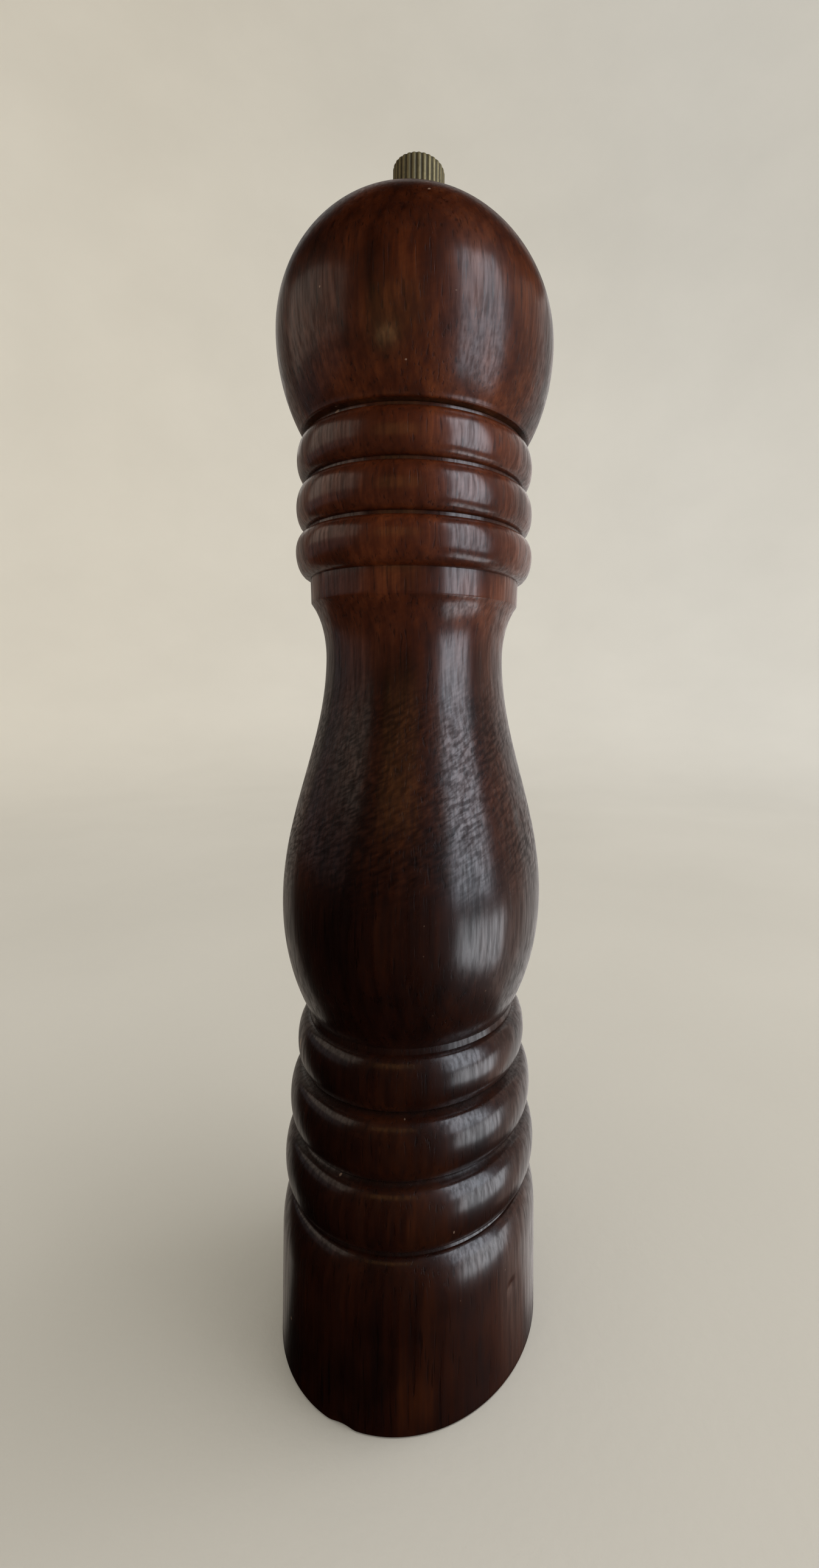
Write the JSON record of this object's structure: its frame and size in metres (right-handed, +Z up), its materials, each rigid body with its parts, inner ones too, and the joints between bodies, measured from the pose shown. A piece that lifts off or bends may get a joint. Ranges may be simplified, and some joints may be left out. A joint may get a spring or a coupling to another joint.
{
  "type": "pepper mill",
  "caption": "Turned wooden pepper mill with a domed turning head, ringed body, brass finial nut that sets the grind, and a steel burr mechanism inside.",
  "frame": {"origin": "centre of the round base, on the surface that the mill stands on", "axes": "+Z up along the mill's turning axis; -Y towards the viewer; +X to the viewer's right, along the crossbar"},
  "size_m": [0.0622, 0.0622, 0.2545],
  "materials": {
    "body_wood": "dark walnut-stained turned hardwood, satin lacquer",
    "head_wood": "reddish-brown stained turned hardwood, satin lacquer",
    "aged_brass": "straight-knurled, aged and dull",
    "fibre": "red vulcanised fibre, matt",
    "plated_steel": "zinc-plated, slightly dulled",
    "shaft_metal": "drawn bar, fine lengthwise lines",
    "burr_steel": "case-hardened steel, dark, with pepper dust in the teeth",
    "nylon": "natural nylon, slightly yellowed",
    "spring_steel": "bright spring wire and spring steel",
    "screw_brass": "slotted screws, dulled"
  },
  "bodies": {
    "body": {"body": "body_wood", "female_burr": "burr_steel", "bearing_bridge": "plated_steel", "bridge_rivets": "shaft_metal", "crossbar": "plated_steel", "crossbar_screws": "screw_brass"},
    "turning_bush": {"shaft_bush": "nylon", "upper_spring_washer": "plated_steel"},
    "shaft": {"drive_shaft": "shaft_metal", "male_burr": "burr_steel", "spring": "spring_steel", "lower_spring_washer": "plated_steel", "thrust_washer": "plated_steel", "shaft_clip": "spring_steel"},
    "head": {"head": "head_wood", "finial_washer": "fibre", "drive_plate": "plated_steel", "drive_plate_screws": "plated_steel"},
    "finial": {"finial_nut": "aged_brass"}
  },
  "joints": [
    {"name": "head_turn", "type": "hinge", "parent": "body", "child": "turning_bush", "pos_m": [0, 0, 0.1], "axis": [0, 0, 1], "continuous": true},
    {"name": "grind_adjust", "type": "slide", "parent": "turning_bush", "child": "shaft", "axis": [0, 0, 1], "range_m": [-0.0012, 0.0008], "deforming": ["spring"]},
    {"name": "head_lift", "type": "slide", "parent": "turning_bush", "child": "head", "axis": [0, 0, 1], "range_m": [0, 0.08]},
    {"name": "knob_turn", "type": "hinge", "parent": "head", "child": "finial", "pos_m": [0, 0, 0.249], "axis": [0, 0, 1], "range_deg": [-360, 540]}
  ],
  "couplings": [
    {"joint": "knob_turn", "follows": "grind_adjust", "rad_per_m": -7853.9}
  ]
}
